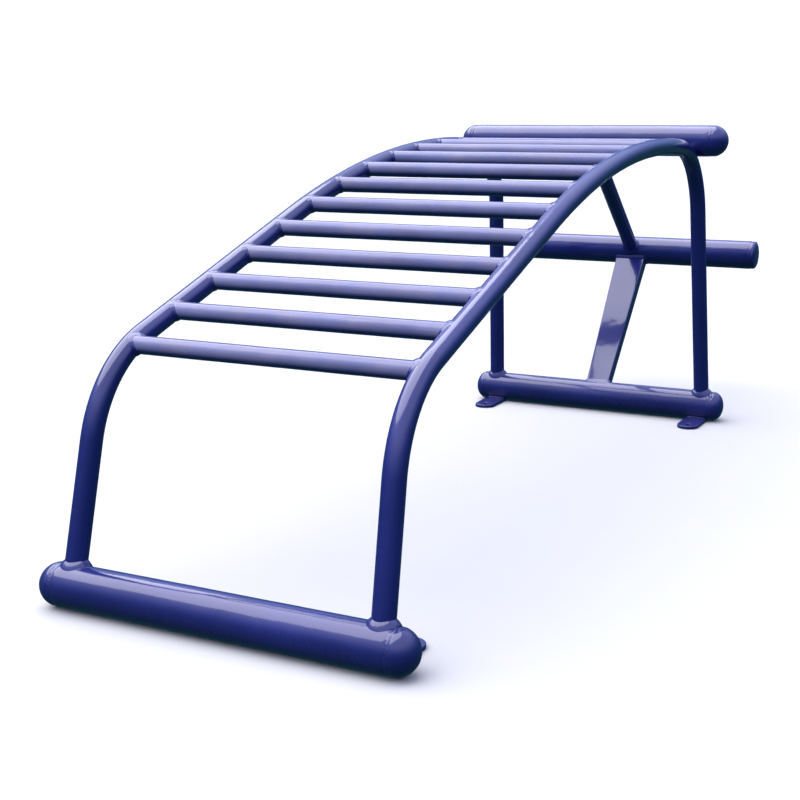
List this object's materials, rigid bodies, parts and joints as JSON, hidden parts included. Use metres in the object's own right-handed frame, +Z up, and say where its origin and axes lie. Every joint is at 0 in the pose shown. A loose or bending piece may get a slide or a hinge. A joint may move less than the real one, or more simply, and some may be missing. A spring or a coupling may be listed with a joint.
{
  "type": "outdoor sit-up bench",
  "caption": "Curved ladder bench of painted steel tube with a raised knee bar, a rear foot bar on a centre brace, and round base tubes with anchor ears.",
  "frame": {"origin": "on the ground, under the middle of the overall box", "axes": "+X across the bench to its right, +Y from the front base to the foot bar, +Z up"},
  "size_m": [0.7036, 2.155, 0.7583],
  "materials": {
    "blue_paint": "gloss"
  },
  "bodies": {
    "root": {"front_base_tube": "blue_paint", "rear_base_tube": "blue_paint", "knee_bar_tube": "blue_paint", "foot_bar_tube": "blue_paint", "front_base_cap_left": "blue_paint", "front_base_cap_right": "blue_paint", "rear_base_cap_left": "blue_paint", "rear_base_cap_right": "blue_paint", "knee_bar_cap_left": "blue_paint", "knee_bar_cap_right": "blue_paint", "foot_bar_cap_left": "blue_paint", "foot_bar_cap_right": "blue_paint", "rail_left": "blue_paint", "rail_right": "blue_paint", "rung_01": "blue_paint", "rung_02": "blue_paint", "rung_03": "blue_paint", "rung_04": "blue_paint", "rung_05": "blue_paint", "rung_06": "blue_paint", "rung_07": "blue_paint", "rung_08": "blue_paint", "rung_09": "blue_paint", "rung_10": "blue_paint", "rung_11": "blue_paint", "rung_12": "blue_paint", "lower_brace": "blue_paint", "upper_brace": "blue_paint", "front_lug_left": "blue_paint", "front_lug_right": "blue_paint", "rear_lug_left": "blue_paint", "rear_lug_right": "blue_paint"}
  },
  "joints": []
}
